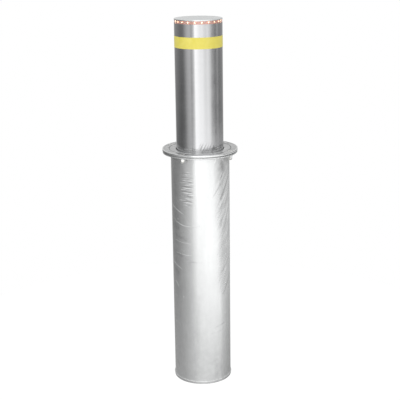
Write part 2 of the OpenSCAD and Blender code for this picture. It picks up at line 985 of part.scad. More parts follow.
casing_tube();
base_plate();
base_weld();
casing_flange();
flange_weld();
guide_bush();
wiper_seal();
collar_ring();
cover_ring();
flange_bolts();
nut_washers();
dome_nuts();
guide_rail(0);  // guide_rail_1
guide_rail(1);  // guide_rail_2
guide_rail(2);  // guide_rail_3
conduit_stub();
cable_gland();
gland_nut();
drain_socket();
cylinder_foot();
foot_bolts();
cylinder_barrel();
gland_head();
rod_seal();
bump_ring();
sensor(piston_bottom);  // upper_sensor
sensor(base_top + cyl_foot_h + 10);  // lower_sensor
pump_block();
block_screws();
pump_motor();
solenoid_valve();
junction_box();
oil_tank();
tank_lid();
filler_plug();
pressure_pipe();
return_pipe();
column_tube();
foot_ring();
guide_shoe(0);  // guide_shoe_1
guide_shoe(1);  // guide_shoe_2
guide_shoe(2);  // guide_shoe_3
shoe_screws();
crosshead();
rod_nut();
piston_rod();
piston();
piston_seals();
head_ring();
led_hub();
led_strip();
leds();
led_window();
head_cap();
cap_screws();
reflective_band();
led_cable();
coil_cable();
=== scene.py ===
"""Rising bollard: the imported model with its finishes, weld beads, lamps, coiled cable and studio."""

import json
import random
from math import atan2, cos, pi, radians, sin

import bmesh
import bpy
from mathutils import Matrix, Vector


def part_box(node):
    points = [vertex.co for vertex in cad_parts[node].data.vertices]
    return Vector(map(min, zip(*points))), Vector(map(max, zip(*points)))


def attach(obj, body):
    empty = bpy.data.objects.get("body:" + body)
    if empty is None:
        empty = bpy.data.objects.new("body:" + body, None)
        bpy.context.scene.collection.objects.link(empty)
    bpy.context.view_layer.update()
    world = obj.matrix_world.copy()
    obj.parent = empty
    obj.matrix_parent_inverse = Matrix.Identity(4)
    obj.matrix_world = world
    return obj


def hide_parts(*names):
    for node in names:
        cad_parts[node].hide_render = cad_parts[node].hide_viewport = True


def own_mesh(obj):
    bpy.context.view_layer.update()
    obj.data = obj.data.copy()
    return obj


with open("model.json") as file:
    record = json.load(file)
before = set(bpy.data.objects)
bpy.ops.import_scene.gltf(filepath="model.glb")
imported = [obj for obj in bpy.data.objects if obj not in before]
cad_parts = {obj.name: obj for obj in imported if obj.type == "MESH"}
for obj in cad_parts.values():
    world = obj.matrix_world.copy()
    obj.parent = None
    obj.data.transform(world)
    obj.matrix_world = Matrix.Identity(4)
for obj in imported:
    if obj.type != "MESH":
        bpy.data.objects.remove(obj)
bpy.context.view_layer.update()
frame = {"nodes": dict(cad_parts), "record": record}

MM = 0.001

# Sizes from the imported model
COLUMN_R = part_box("column_tube")[1].x
CASING_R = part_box("casing_tube")[1].x
FLANGE_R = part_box("cover_ring")[1].x
FLANGE_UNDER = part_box("casing_flange")[0].z
BASE_UNDER, BASE_TOP = (corner.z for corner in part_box("base_plate"))
CAP_BOTTOM, HEAD_TOP = (corner.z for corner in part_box("head_cap"))
LAMP_Z = sum(corner.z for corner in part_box("leds")) / 2

# Small features of the model that the finishes follow
SEAM_INNER_R = 143 * MM
SEAM_OUTER_R = 144.5 * MM
BOLT_R = 159.75 * MM
BOLT_HEAD_R = 12 * MM
BOLT_TURN = -30
BOLT_STEP = 90
CAP_ROUND = 1.5 * MM


# Shader building


class Pattern:
    """A node's output. Sums and products with it are written as with a number."""

    def __init__(self, tree, socket):
        self.tree = tree
        self.socket = socket

    def __add__(self, other):
        return arithmetic(self.tree, "ADD", self, other)

    def __sub__(self, other):
        return arithmetic(self.tree, "SUBTRACT", self, other)

    def __rsub__(self, other):
        return arithmetic(self.tree, "SUBTRACT", other, self)

    def __mul__(self, other):
        return arithmetic(self.tree, "MULTIPLY", self, other)

    def __rtruediv__(self, other):
        return arithmetic(self.tree, "DIVIDE", other, self)


class Finish:
    """A material in the making, with its tree and its Principled shader."""

    def __init__(self, name, **sockets):
        self.paint = bpy.data.materials.new(name)
        self.paint.use_nodes = True
        self.tree = self.paint.node_tree
        self.shader = self.tree.nodes["Principled BSDF"]
        self.put(**sockets)

    def put(self, **sockets):
        """Fills the shader's sockets, each named with _ for a space."""
        for name, value in sockets.items():
            fill(self.tree, self.shader.inputs[name.replace("_", " ")], value)

    def bump(self, height, strength, distance):
        """Raises and lowers the look of the surface with a pattern."""
        inputs = {"Strength": strength, "Distance": distance, "Height": height}
        self.put(Normal=add(self.tree, "ShaderNodeBump", inputs=inputs))


def fill(tree, socket, value):
    """Links a pattern to a socket, or sets a plain value on it."""
    if isinstance(value, Pattern):
        tree.links.new(value.socket, socket)
    else:
        socket.default_value = value


def add(tree, kind, props=None, inputs=None, output=0):
    """A node with its properties and inputs set. The result is one of its outputs."""
    node = tree.nodes.new(kind)
    for name, value in (props or {}).items():
        setattr(node, name, value)
    for key, value in (inputs or {}).items():
        fill(tree, node.inputs[key], value)
    return Pattern(tree, node.outputs[output])


def arithmetic(tree, operation, *values):
    return add(tree, "ShaderNodeMath", {"operation": operation}, dict(enumerate(values)))


def vector_math(tree, operation, *values, output="Vector"):
    return add(tree, "ShaderNodeVectorMath", {"operation": operation}, dict(enumerate(values)), output)


def vector(tree, x=0.0, y=0.0, z=0.0):
    return add(tree, "ShaderNodeCombineXYZ", inputs={0: x, 1: y, 2: z})


def xyz(places):
    """The three numbers of a vector pattern."""
    node = add(places.tree, "ShaderNodeSeparateXYZ", inputs={0: places}).socket.node
    return [Pattern(places.tree, share) for share in node.outputs]


def place(tree):
    """Where the surface is, in metres in the model's frame."""
    return add(tree, "ShaderNodeTexCoord", output="Object")


def noise(tree, scale, detail, rough=0.5, at=None):
    inputs = {"Vector": at or place(tree), "Scale": scale, "Detail": detail, "Roughness": rough}
    return add(tree, "ShaderNodeTexNoise", inputs=inputs)


def streaky(tree, scale, detail, rough):
    """Noise with a scale of its own along each axis."""
    at = add(tree, "ShaderNodeMapping", inputs={"Vector": place(tree), "Scale": scale})
    return noise(tree, 1.0, detail, rough, at)


def ramp(value, *stops):
    """Colours over a pattern, from (position, grey or colour) stops."""
    colours = add(value.tree, "ShaderNodeValToRGB", inputs={0: value})
    points = colours.socket.node.color_ramp.elements
    while len(points) < len(stops):
        points.new(1.0)
    for point, (at, tone) in zip(points, stops):
        point.position = at
        point.color = (tone, tone, tone, 1) if isinstance(tone, (int, float)) else (*tone, 1)
    return colours


def span(value, low, high, to_low=0.0, to_high=1.0, smooth=True):
    """Maps low..high to to_low..to_high and holds it there."""
    props = {"interpolation_type": "SMOOTHSTEP" if smooth else "LINEAR"}
    inputs = {"Value": value, "From Min": low, "From Max": high, "To Min": to_low, "To Max": to_high}
    return add(value.tree, "ShaderNodeMapRange", props, inputs)


def window(value, low, high, edge):
    """One inside low..high, falling to nothing over the edge."""
    return span(value, low - edge, low + edge) * span(value, high - edge, high + edge, 1.0, 0.0)


def blend(factor, a, b):
    """A colour between a and b. The Mix node keeps its colours in sockets 6 and 7 and gives one in 2."""
    return add(factor.tree, "ShaderNodeMix", {"data_type": "RGBA"}, {0: factor, 6: a, 7: b}, 2)


def larger(a, b):
    """The larger of two patterns at each place."""
    return arithmetic(a.tree, "MAXIMUM", a, b)


def hypotenuse(a, b):
    return arithmetic(a.tree, "SQRT", a * a + b * b)


def around_z(x, y):
    """Degrees round the axis, from the front towards the right."""
    return arithmetic(x.tree, "ARCTAN2", x, y * -1.0) * (180 / pi)


def unrolled(turn, height, tube_r):
    """The place on a tube's wall when the wall is laid flat."""
    return vector(turn.tree, turn * (pi / 180 * tube_r), height)


def painted_corner_shade(tree, reach):
    """Painted shade: nothing on open surfaces, rising to one in gaps and corners narrower than the reach.
    """
    open_share = add(tree, "ShaderNodeAmbientOcclusion", {"samples": 6}, {"Distance": reach}, "AO")
    return span(open_share, 0.35, 0.85, 1.0, 0.0)


# Finishes

# Dark grey for painted shade in the corners of plated parts, and for the dark streaks at the column's foot
SHADE_AND_STREAK_GREY = (0.10, 0.10, 0.10, 1)

# Rubbed and streaked places on the casing, and among the dark ones at the left painted shade below the zinc
# runs: from and to in degrees and mm, half width in mm, strength
DARK_RUBS_AND_SHADE = [
    ((52, -84), (43, -122), 4.0, 0.9), ((42, -150), (25, -203), 3.0, 1.0),
    ((50, -92), (40, -132), 3.0, 0.6), ((72, -112), (60, -155), 5.0, 0.7),
    ((60, -155), (42, -221), 7.0, 0.85), ((46, -52), (50, -84), 20.0, 0.8),
    ((40, -78), (47, -70), 14.0, 0.5), ((56, -34), (66, -52), 18.0, 0.6),
    ((66, -210), (52, -268), 5.0, 0.6), ((74, -350), (66, -420), 6.0, 0.5),
    ((74, -515), (42, -581), 6.0, 0.5), ((76, -600), (48, -690), 8.0, 0.5),
    # The dark ones at the left, at negative degrees, are painted shade below the zinc runs
    ((-78, -350), (-52, -362), 14.0, 0.4), ((-58, -400), (-32, -412), 12.0, 0.45),
    ((-70, -482), (-44, -494), 14.0, 0.35), ((-78, -560), (-52, -586), 14.0, 0.35),
    ((-72, -1040), (-58, -1062), 9.0, 0.4), ((26, -852), (48, -842), 4.0, 0.4)
]
LIGHT_STREAKS = [
    ((61, -56), (46, -108), 4.5, 1.0), ((34, -22), (28, -46), 3.0, 0.8), ((40, -24), (32, -58), 3.0, 0.8),
    ((46, -26), (38, -60), 3.0, 0.7), ((52, -120), (42, -175), 3.5, 0.7),
    ((58, -200), (40, -258), 5.5, 1.0), ((72, -120), (76, -175), 5.0, 0.9),
    ((52, -300), (46, -346), 6.0, 0.6), ((61, -566), (42, -603), 6.0, 0.5),
    ((-62, -452), (-36, -470), 4.0, 0.5)
]


def stroke(spot, first, last, half_width):
    """A soft stroke on the unrolled casing between two (degrees, mm) places."""
    start, end = (Vector((radians(turn) * CASING_R, height * MM, 0)) for turn, height in (first, last))
    along = end - start
    away = vector_math(spot.tree, "SUBTRACT", spot, start)
    reach = vector_math(spot.tree, "DOT_PRODUCT", away, along / along.length_squared, output="Value")
    reach = span(reach, 0, 1, 0, 1, smooth=False)
    foot = add(spot.tree, "ShaderNodeVectorMath", {"operation": "SCALE"}, {0: along, "Scale": reach})
    gap = vector_math(spot.tree, "DISTANCE", away, foot, output="Value")
    return span(gap, 0.0, half_width * MM * 1.2, 1.0, 0.0)


def strokes(spot, rows):
    """The strongest of several strokes, each (first, last, half width in mm, strength)."""
    total = None
    for first, last, half_width, strength in rows:
        one = stroke(spot, first, last, half_width) * strength
        total = larger(total, one) if total else one
    return total


def wavering(spot):
    """Places on the unrolled casing, shifted a little so that straight strokes waver."""
    reach = 6 * MM
    inputs = {"Vector": place(spot.tree), "Scale": 38.0, "Detail": 3.0}
    sway = add(spot.tree, "ShaderNodeTexNoise", inputs=inputs, output="Color")
    spot = vector_math(spot.tree, "MULTIPLY_ADD", sway, (2 * reach, 2 * reach, 0), spot)
    return vector_math(spot.tree, "SUBTRACT", spot, (reach, reach, 0))


def slanting_grain(spot):
    """Long grain on the unrolled casing that leans to the left as it goes down."""
    across, up, _ = xyz(spot)
    leaning = vector(spot.tree, across * 58.0 - up * 38.0, across * 6.0 + up * 9.0)
    return noise(spot.tree, 1.0, 1.0, 0.5, leaning)


def ripple_shadows(turn, height, mottle):
    """Painted shade in the hollows between the zinc ripples under the flange at the left."""
    waves = arithmetic(height.tree, "SINE", height * 285.0 + mottle * 5.0)
    rippled = window(turn, -38, -17, 5) * window(height, -242 * MM, -95 * MM, 12 * MM)
    return span(waves, 0.0, 0.9) * (rippled * 0.55)


def zinc_tint(tone):
    """Greys with a hint of blue and green."""
    return ramp(tone, (0.0, 0.0), (1.0, (0.99, 1.0, 1.0)))


def zinc_coat():
    """Hot-dip galvanised steel: spangle, drained zinc, rubbed streaks where the casing was handled, and
    painted shade below the zinc runs, between the ripples and in corners.
    """
    coat = Finish("galvanised", Metallic=0.85)
    tree = coat.tree
    x, y, height = xyz(place(tree))
    turn = around_z(x, y)
    crystals = {"Vector": place(tree), "Scale": 70.0}
    spangle = add(tree, "ShaderNodeTexVoronoi", inputs=crystals, output="Color")
    flakes = add(tree, "ShaderNodeSeparateColor", inputs={0: spangle})
    clouds = noise(tree, 7.0, 4.0, 0.6)
    drained = streaky(tree, (30, 30, 3.5), 3.0, 0.55)
    mottle = streaky(tree, (22, 22, 8), 2.0, 0.5)
    tone = flakes * 0.035 + clouds * 0.18 + drained * 0.14

    spot = wavering(unrolled(turn, height, CASING_R))
    slant = slanting_grain(spot)
    torn = span(mottle, 0.30, 0.60, 0.4, 1.0) * span(slant, 0.36, 0.56, 0.6, 1.3)
    dark_rub_and_shade = strokes(spot, DARK_RUBS_AND_SHADE) * torn
    # Painted shade in the hollows between the ripples joins the dark rubs
    dark_rub_and_shade = larger(dark_rub_and_shade, ripple_shadows(turn, height, mottle))
    light_rub = strokes(spot, LIGHT_STREAKS) * torn
    handled = window(turn, 36, 92, 12) * window(height, -660 * MM, -20 * MM, 160 * MM)
    worn_back = span(arithmetic(tree, "ABSOLUTE", turn), 95, 130, 0.0, 0.6)
    handled = larger(handled, worn_back * span(clouds, 0.45, 0.6))

    tone = span(tone, 0.1, 0.26, 0.72, 0.84, smooth=False)
    tone = tone - dark_rub_and_shade * 0.34 + light_rub * 0.14
    tone = tone + (mottle - 0.5) * (handled + 0.1) * 0.16
    slanted = (slant - 0.5) * handled * span(height, -600 * MM, -200 * MM, 0.35, 1.0)
    slanted = slanted * span(turn, 62, 84, 1.0, 0.4)
    # Painted shade in gaps and corners darkens the zinc
    tone = (tone + slanted * 0.75) * span(painted_corner_shade(tree, 8 * MM), 0, 1, 1.0, 0.6)
    roughness = span(clouds, 0.3, 0.7, 0.17, 0.24) + flakes * 0.02 + handled * 0.06
    coat.put(Base_Color=zinc_tint(tone), Roughness=roughness)
    lumps = drained * 0.5 + flakes * 0.006 - dark_rub_and_shade * 0.1 + mottle * (handled * 0.1 + 0.1)
    coat.bump(lumps, 0.4, 1.4 * MM)
    return coat.paint


def bolt_gap_shade(turn, out):
    """Painted shade: a thin dark ring in the gap round each flange bolt's head."""
    half_step = BOLT_STEP / 2
    fold = arithmetic(turn.tree, "WRAP", turn - BOLT_TURN, half_step, -half_step)
    away = hypotenuse(fold * (pi / 180 * BOLT_R), out - BOLT_R)
    return window(away, BOLT_HEAD_R - 0.4 * MM, BOLT_HEAD_R + 1.0 * MM, 0.8 * MM)


def dull_zinc():
    """The rings: rough on top, lighter round the rim with wear and a painted highlight, with painted shade
    in the seam, round the bolt heads and in the recesses.
    """
    coat = Finish("flange_steel")
    tree = coat.tree
    x, y, _ = xyz(place(tree))
    out = hypotenuse(x, y)
    facing_up = xyz(add(tree, "ShaderNodeNewGeometry", output="Normal"))[2]
    level = span(arithmetic(tree, "ABSOLUTE", facing_up), 0.2, 0.95)
    grain = noise(tree, 210.0, 3.0, 0.75)
    clouds = noise(tree, 24.0, 4.0, 0.65)
    top_tone = span(grain * 0.6 + clouds * 0.4, 0.40, 0.60, 0.36, 0.70, smooth=False)
    # Painted shade along the seam between the cover ring and the collar ring
    seam_shade = window(out, SEAM_INNER_R - 1.2 * MM, SEAM_OUTER_R + 1.2 * MM, 1.2 * MM)
    top_tone = top_tone - seam_shade * 0.28
    # Painted shade in the gap round each bolt head
    top_tone = top_tone - bolt_gap_shade(around_z(x, y), out) * 0.45
    # Lighter round the top's outer edge: wear, with a painted highlight along it
    rim_wear_and_highlight = span(out + clouds * (4 * MM), FLANGE_R - 3.2 * MM, FLANGE_R + 0.2 * MM)
    top_tone = top_tone + rim_wear_and_highlight * 0.40
    side_tone = span(clouds, 0.3, 0.7, 0.76, 0.92, smooth=False)
    tone = level * top_tone + (1.0 - level) * side_tone
    # Painted shade in gaps and corners
    tone = tone * span(painted_corner_shade(tree, 4 * MM), 0, 1, 1.0, 0.5)
    top_rough = span(out, SEAM_INNER_R - 4 * MM, SEAM_OUTER_R + 2 * MM, 0.15, 0.20)
    rough = level * top_rough + (1.0 - level) * 0.2
    coat.put(Base_Color=zinc_tint(tone), Roughness=rough, Metallic=span(level, 0, 1, 0.97, 0.93))
    coat.bump((grain + clouds) * 0.16, 0.4, 0.8 * MM)
    return coat.paint


def foot_dark_streaks(tree):
    """Dark leaning streaks low on the raised column, at the front right."""
    x, y, height = xyz(place(tree))
    turn = around_z(x, y)
    foot_marks = noise(tree, 0.30, 3.0, 0.7, vector(tree, turn - height * 260.0, height * 22.0))
    where = window(turn, 0, 36, 5) * span(height, 52 * MM, 12 * MM)
    return span(foot_marks, 0.44, 0.62) * where


def brushed_tube(name, low, high, roughness, hair, dark_streaked_foot=False):
    """Stainless steel brushed round the axis."""
    coat = Finish(name, Metallic=1.0, Anisotropic=0.8, Anisotropic_Rotation=0.25)
    tree = coat.tree
    tangent = add(tree, "ShaderNodeTangent", {"direction_type": "RADIAL", "axis": "Z"})
    hairs = streaky(tree, (16, 16, hair), 3.0, 0.7)
    fine = streaky(tree, (40, 40, hair * 2.6), 2.0, 0.6)
    smudges = noise(tree, 9.0, 3.0, 0.6)
    tone = hairs * 0.6 + fine * 0.4
    tint = ramp(tone, (0.3, low), (0.7, high))
    rough = span(tone, 0.3, 0.7, roughness - 0.03, roughness + 0.04) + span(smudges, 0.4, 0.75, 0.0, 0.04)
    if dark_streaked_foot:
        foot_marks = foot_dark_streaks(tree)
        tint = blend(foot_marks * 0.75, tint, SHADE_AND_STREAK_GREY)
        rough = rough + foot_marks * 0.1
    coat.put(Base_Color=tint, Roughness=rough, Tangent=tangent)
    coat.bump(tone, 0.10, 0.4 * MM)
    return coat.paint


def turned_steel(name, tint, roughness, rings=900.0):
    """Machined metal with fine tool marks."""
    coat = Finish(name, Metallic=1.0)
    marks = streaky(coat.tree, (30, 30, rings), 2.0, 0.6)
    clouds = noise(coat.tree, 25.0, 3.0, 0.6)
    tone = marks * 0.6 + clouds * 0.4
    dark = tuple(channel * 0.8 for channel in tint)
    coat.put(
        Base_Color=ramp(tone, (0.3, dark), (0.65, tint)),
        Roughness=span(tone, 0.3, 0.7, roughness + 0.06, roughness - 0.05)
    )
    coat.bump(marks, 0.12, 0.3 * MM)
    return coat.paint


def plated(name, tint, roughness):
    """Bright zinc plating with a faint yellow cast, and painted shade in its corners."""
    coat = Finish(name, Metallic=0.85)
    clouds = noise(coat.tree, 70.0, 3.0, 0.6)
    grain = noise(coat.tree, 600.0, 2.0, 0.5)
    warm = (tint[0], tint[1] * 0.98, tint[2] * 0.90)
    plating = ramp(clouds, (0.35, warm), (0.6, tint))
    coat.put(
        # Painted shade in corners and recesses, blended towards dark grey
        Base_Color=blend(painted_corner_shade(coat.tree, 5 * MM) * 0.75, plating, SHADE_AND_STREAK_GREY),
        Roughness=span(clouds, 0.3, 0.7, roughness - 0.06, roughness + 0.08)
    )
    coat.bump(grain, 0.08, 0.3 * MM)
    return coat.paint


def moulded(name, tint, roughness, grain_scale=900.0, depth=0.3 * MM, sheen=0.0):
    """Plastic or rubber with a fine grain and rubbed high places."""
    coat = Finish(name, Sheen_Weight=sheen)
    grain = noise(coat.tree, grain_scale, 3.0, 0.6)
    clouds = noise(coat.tree, 30.0, 3.0, 0.6)
    pale = tuple(min(1.0, channel * 1.25 + 0.01) for channel in tint)
    coat.put(
        Base_Color=ramp(clouds, (0.4, tint), (0.7, pale)),
        Roughness=span(clouds, 0.3, 0.7, roughness - 0.05, roughness + 0.07)
    )
    coat.bump(grain, 0.25, depth)
    return coat.paint


def enamel(name, tint, roughness):
    """Paint over metal, with orange peel."""
    coat = Finish(name, Coat_Weight=0.3, Coat_Roughness=0.15)
    peel = noise(coat.tree, 320.0, 2.0, 0.5)
    clouds = noise(coat.tree, 18.0, 3.0, 0.6)
    pale = tuple(channel * 1.2 + 0.005 for channel in tint)
    coat.put(
        Base_Color=ramp(clouds, (0.4, tint), (0.65, pale)),
        Roughness=span(clouds, 0.3, 0.7, roughness, roughness + 0.08)
    )
    coat.bump(peel, 0.15, 0.4 * MM)
    return coat.paint


def reflective_tape():
    """Yellow tape with its honeycomb of sealed cells, and a painted glow that keeps it evenly bright all
    round.
    """
    # The emission is a painted glow standing in for the tape's even brightness
    coat = Finish(
        "yellow_tape", Coat_Weight=0.4, Coat_Roughness=0.2, Specular_IOR_Level=0.5, Emission_Strength=0.55
    )
    x, y, height = xyz(place(coat.tree))
    cells = add(
        coat.tree, "ShaderNodeTexVoronoi", {"feature": "DISTANCE_TO_EDGE", "voronoi_dimensions": "2D"},
        {"Vector": unrolled(around_z(x, y), height, COLUMN_R), "Scale": 330.0, "Randomness": 0.25}
    )
    wall = span(cells, 0.04, 0.10, 1.0, 0.0)
    clouds = noise(coat.tree, 26.0, 3.0, 0.6)
    cell_tint = ramp(clouds, (0.35, (0.47, 0.41, 0.055)), (0.65, (0.50, 0.44, 0.085)))
    coat.put(
        Base_Color=blend(wall * 0.3, cell_tint, (0.54, 0.49, 0.24, 1)),
        Roughness=span(clouds, 0.3, 0.7, 0.32, 0.45), Emission_Color=cell_tint
    )
    coat.bump(wall, 0.12, 0.2 * MM)
    return coat.paint


def lamp_glass():
    """Clear pink plastic that the lamps behind it light up; part of its glow is painted on as emission."""
    # The emission is a painted glow of the lamps behind the window
    coat = Finish(
        "lamp_window", Alpha=0.55, Metallic=0.5, Specular_IOR_Level=0.6,
        Coat_Weight=0.6, Coat_Roughness=0.06, Emission_Strength=0.2
    )
    clouds = noise(coat.tree, 60.0, 3.0, 0.6)
    coat.put(
        Base_Color=ramp(clouds, (0.35, (0.70, 0.42, 0.36)), (0.7, (0.78, 0.54, 0.48))),
        Roughness=span(clouds, 0.3, 0.7, 0.16, 0.28),
        Emission_Color=ramp(clouds, (0.3, (0.60, 0.24, 0.18)), (0.7, (0.76, 0.36, 0.28)))
    )
    return coat.paint


def lamp_light():
    """A lamp: hottest at its nose, where it faces outwards."""
    hot, warm = (1.0, 0.86, 0.62), (1.0, 0.62, 0.34)
    coat = Finish("lamp", Base_Color=(*warm, 1), Roughness=0.2, Emission_Strength=7.0)
    facing = add(coat.tree, "ShaderNodeLayerWeight", inputs={"Blend": 0.35}, output="Facing")
    coat.put(Emission_Color=ramp(facing, (0.0, hot), (0.8, warm)))
    return coat.paint


finishes = {
    "galvanised": zinc_coat(),
    "flange_steel": dull_zinc(),
    "bright_zinc": plated("bright_zinc", (0.86, 0.87, 0.88), 0.3),
    "nylon": moulded("nylon", (0.80, 0.77, 0.66), 0.45),
    "black_rubber": moulded(
        "black_rubber", (0.022, 0.022, 0.022), 0.75, grain_scale=1400.0, depth=0.4 * MM, sheen=0.1
    ),
    "black_plastic": moulded("black_plastic", (0.035, 0.035, 0.035), 0.45),
    "grey_plastic": moulded("grey_plastic", (0.42, 0.43, 0.44), 0.5),
    "machined_steel": turned_steel("machined_steel", (0.56, 0.55, 0.53), 0.32),
    "cylinder_paint": enamel("cylinder_paint", (0.10, 0.11, 0.12), 0.35),
    "motor_paint": enamel("motor_paint", (0.05, 0.13, 0.32), 0.35),
    "aluminium_block": turned_steel("aluminium_block", (0.78, 0.79, 0.80), 0.36, rings=260.0),
    "rod_chrome": turned_steel("rod_chrome", (0.84, 0.85, 0.86), 0.1, rings=2200.0),
    "red_seal": moulded("red_seal", (0.42, 0.035, 0.02), 0.5),
    "brushed_column": brushed_tube(
        "brushed_column", (0.585, 0.59, 0.60), (0.68, 0.68, 0.685), 0.13, hair=1500.0, dark_streaked_foot=True
    ),
    "cap_steel": brushed_tube("cap_steel", (0.74, 0.77, 0.77), (0.84, 0.86, 0.86), 0.22, hair=900.0),
    "lamp_strip": plated("lamp_strip", (0.80, 0.56, 0.50), 0.25),
    "lamp": lamp_light(),
    "lamp_window": lamp_glass(),
    "yellow_tape": reflective_tape(),
}
slots = {part["node"]: part["material_slot"] for part in frame["record"]["subparts"]}
for name, cad in frame["nodes"].items():
    cad.data.materials.clear()
    cad.data.materials.append(finishes[slots[name]])


# Pieces grown by Geometry Nodes

LAMPS = 20
LAMP_SIDES = 20
BEAD_SIDES = 14
COIL_R = 12 * MM
COIL_PITCH = 9.6 * MM
CABLE_R = 2.4 * MM
CABLE_SIDES = 10


def tree_of(name, sizes):
    """A geometry tree with a named float or whole-number input for each size."""
    tree = bpy.data.node_groups.new(name, "GeometryNodeTree")
    tree.interface.new_socket("Geometry", in_out="OUTPUT", socket_type="NodeSocketGeometry")
    for size, value in sizes.items():
        kind = "NodeSocketInt" if isinstance(value, int) else "NodeSocketFloat"
        tree.interface.new_socket(size, in_out="INPUT", socket_type=kind)
    given = tree.nodes.new("NodeGroupInput")
    return tree, {size: Pattern(tree, given.outputs[size]) for size in sizes}


def grow(name, body, slot, sizes, build):
    """Builds a tree, gives it its sizes and turns the result into a plain mesh that rides on a body."""
    tree, given = tree_of(name, sizes)
    solid = add(tree, "GeometryNodeRealizeInstances", inputs={0: build(tree, given)})
    painted = add(tree, "GeometryNodeSetMaterial", inputs={0: solid, "Material": finishes[slot]})
    result = tree.nodes.new("NodeGroupOutput")
    fill(tree, result.inputs[0], painted)
    seed = bpy.data.objects.new(name, bpy.data.meshes.new(name))
    bpy.context.scene.collection.objects.link(seed)
    modifier = seed.modifiers.new("Grow", "NODES")
    modifier.node_group = tree
    for socket in tree.interface.items_tree:
        if socket.in_out == "INPUT":
            modifier[socket.identifier] = sizes[socket.name]
    bpy.context.view_layer.update()
    shown = seed.evaluated_get(bpy.context.evaluated_depsgraph_get())
    mesh = bpy.data.meshes.new_from_object(shown)
    seed.modifiers.remove(modifier)
    seed.data = mesh
    mesh.materials.clear()
    mesh.materials.append(finishes[slot])
    for face in mesh.polygons:
        face.material_index = 0
    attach(seed, body)
    return seed


def moved(shape, to=(0, 0, 0), turn=(0, 0, 0), scale=(1, 1, 1)):
    inputs = {"Geometry": shape, "Translation": to, "Rotation": turn, "Scale": scale}
    return add(shape.tree, "GeometryNodeTransform", inputs=inputs)


def joined(tree, *shapes):
    node = tree.nodes.new("GeometryNodeJoinGeometry")
    for shape in shapes:
        fill(tree, node.inputs[0], shape)
    return Pattern(tree, node.outputs[0])


def smoothed(shape):
    return add(shape.tree, "GeometryNodeSetShadeSmooth", inputs={0: shape, "Shade Smooth": True})


def circle_curve(tree, steps, radius):
    return add(tree, "GeometryNodeCurvePrimitiveCircle", inputs={"Resolution": steps, "Radius": radius})


def swept(path, sides, radius, swell=None, capped=False):
    """A round tube along a path, thicker and thinner where it swells."""
    section = circle_curve(path.tree, sides, radius)
    inputs = {"Curve": path, "Profile Curve": section, "Fill Caps": capped}
    if swell:
        inputs["Scale"] = swell
    return smoothed(add(path.tree, "GeometryNodeCurveToMesh", inputs=inputs))


def lamp_disc(tree, radius, depth, centre):
    """A short closed cylinder of a lamp, lying along the lamp's own axis."""
    inputs = {"Vertices": LAMP_SIDES, "Radius": radius, "Depth": depth}
    disc = add(tree, "GeometryNodeMeshCylinder", {"fill_type": "NGON"}, inputs)
    return moved(disc, vector(tree, z=depth * centre))


def lamp_ring(tree, size):
    """Lamps with a foot and a round nose, one at each corner of a polygon."""
    foot = lamp_disc(tree, size["Foot radius"], size["Foot thickness"], 0.5)
    barrel = lamp_disc(tree, size["Lamp radius"], size["Barrel length"], 0.6)
    ball = {"Segments": LAMP_SIDES, "Rings": LAMP_SIDES // 2, "Radius": size["Lamp radius"]}
    nose = add(tree, "GeometryNodeMeshUVSphere", inputs=ball)
    nose = moved(nose, vector(tree, z=size["Barrel length"]), scale=(0.98, 0.98, 0.5))
    lamp = smoothed(joined(tree, foot, barrel, nose))
    corners = {"Vertices": size["Count"], "Radius": size["Ring radius"]}
    polygon = add(tree, "GeometryNodeMeshCircle", inputs=corners)
    polygon = moved(polygon, vector(tree, z=size["Height"]), vector(tree, z=size["First angle"]))
    flat = vector_math(tree, "MULTIPLY", add(tree, "GeometryNodeInputPosition"), (1, 1, 0))
    outwards = add(tree, "FunctionNodeAlignRotationToVector", {"axis": "Z"}, {"Vector": flat})
    inputs = {"Points": polygon, "Instance": lamp, "Rotation": outwards}
    return add(tree, "GeometryNodeInstanceOnPoints", inputs=inputs)


def weld_bead(tree, size):
    """A round bead swept round the tube, whose size pulses with each pass of the torch and drifts."""
    path = circle_curve(tree, size["Steps"], size["Ring radius"])
    path = moved(path, vector(tree, z=size["Height"]))
    step = add(tree, "GeometryNodeInputIndex")
    pulse = arithmetic(tree, "SINE", step * (2 * pi / size["Steps per pass"]))
    spot = add(tree, "GeometryNodeInputPosition")
    drift = noise(tree, size["Drift scale"], 2.0, at=spot)
    swell = 0.97 - size["Drift depth"] * 0.5 + pulse * size["Pulse depth"] + drift * size["Drift depth"]
    return swept(path, BEAD_SIDES, size["Bead radius"], swell)


def cable_coil(tree, size):
    """A cable wound into a long coil."""
    inputs = {
        "Resolution": size["Steps per turn"], "Rotations": size["Turns"], "Height": size["Length"],
        "Start Radius": size["Coil radius"], "End Radius": size["Coil radius"]
    }
    path = add(tree, "GeometryNodeCurveSpiral", inputs=inputs)
    cable = swept(path, CABLE_SIDES, size["Cable radius"], capped=True)
    return moved(cable, vector(tree, size["X"], size["Y"], size["Bottom"]))


# Pieces made from the model's own shapes


def finished_piece(name, body, slot, shape):
    """Turns a bmesh into a smooth piece that rides on a body."""
    mesh = bpy.data.meshes.new(name)
    bmesh.ops.recalc_face_normals(shape, faces=shape.faces)
    shape.to_mesh(mesh)
    shape.free()
    if "custom_normal" in mesh.attributes:
        mesh.attributes.remove(mesh.attributes["custom_normal"])
    mesh.shade_smooth()
    mesh.set_sharp_from_angle(angle=radians(32))
    mesh.materials.append(finishes[slot])
    piece = bpy.data.objects.new(name, mesh)
    bpy.context.scene.collection.objects.link(piece)
    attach(piece, body)
    return piece


def merged_copy(node):
    """A CAD node's shape, with its loose triangles merged."""
    shape = bmesh.new()
    shape.from_mesh(frame["nodes"][node].data)
    bmesh.ops.remove_doubles(shape, verts=shape.verts, dist=0.002 * MM)
    return shape


